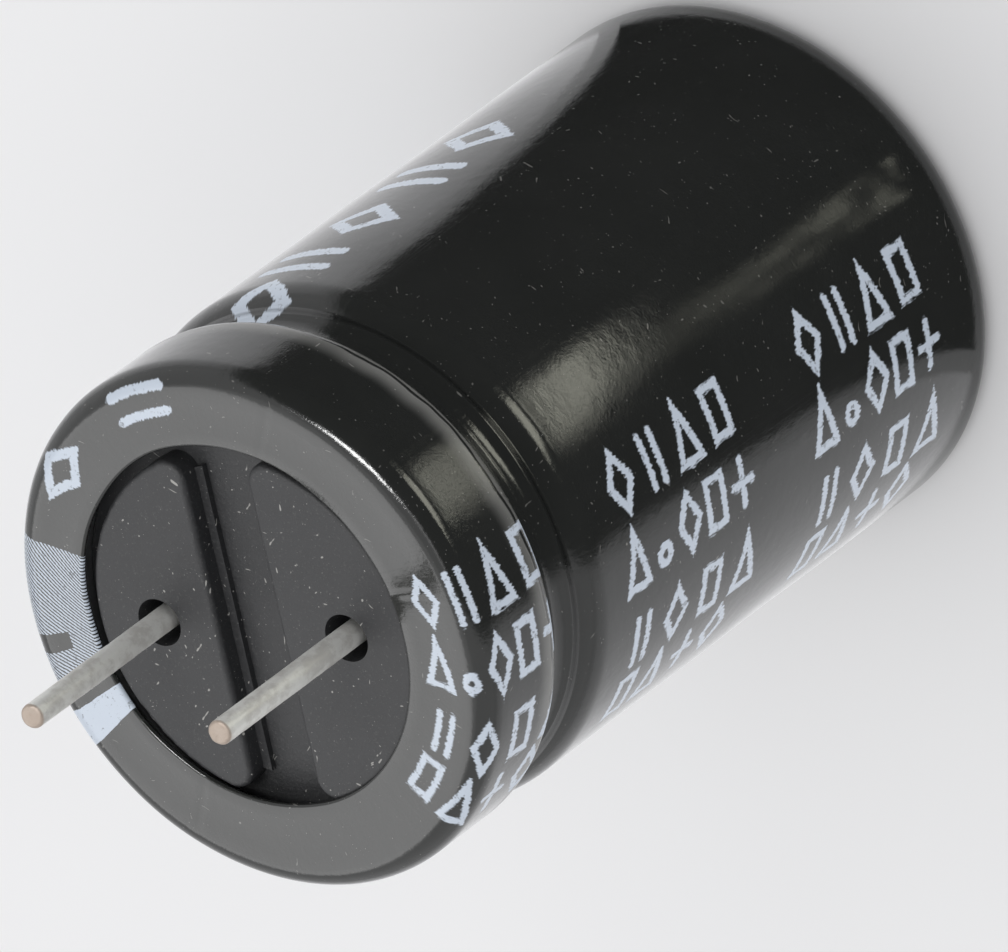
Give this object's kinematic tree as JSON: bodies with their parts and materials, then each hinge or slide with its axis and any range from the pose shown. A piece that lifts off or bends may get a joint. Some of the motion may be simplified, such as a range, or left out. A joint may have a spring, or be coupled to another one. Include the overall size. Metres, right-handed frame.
{
  "type": "electrolytic capacitor",
  "caption": "Radial aluminium electrolytic capacitor: a sleeved can with a rolled groove and a rubber bung, and straight wire leads for a circuit board.",
  "frame": {"origin": "middle of the vent end, on the face that the capacitor stands on", "axes": "+Z along the can towards the leads, +X from the negative lead to the positive lead"},
  "size_m": [0.0128, 0.0128, 0.025],
  "materials": {
    "sleeve": "glossy black shrink tube with pale print",
    "can": "drawn, satin",
    "bung": "matte moulded rubber with dust",
    "winding": "soaked paper with foil edges",
    "tape": "adhesive tape",
    "tab": "pressed, dull",
    "lead": "dull tin plate with dents"
  },
  "bodies": {
    "root": {"sleeve": "sleeve", "can": "can", "rubber_bung": "bung", "winding": "winding", "winding_tape": "tape", "negative_tab": "tab", "positive_tab": "tab", "negative_lead": "lead", "positive_lead": "lead"}
  },
  "joints": []
}
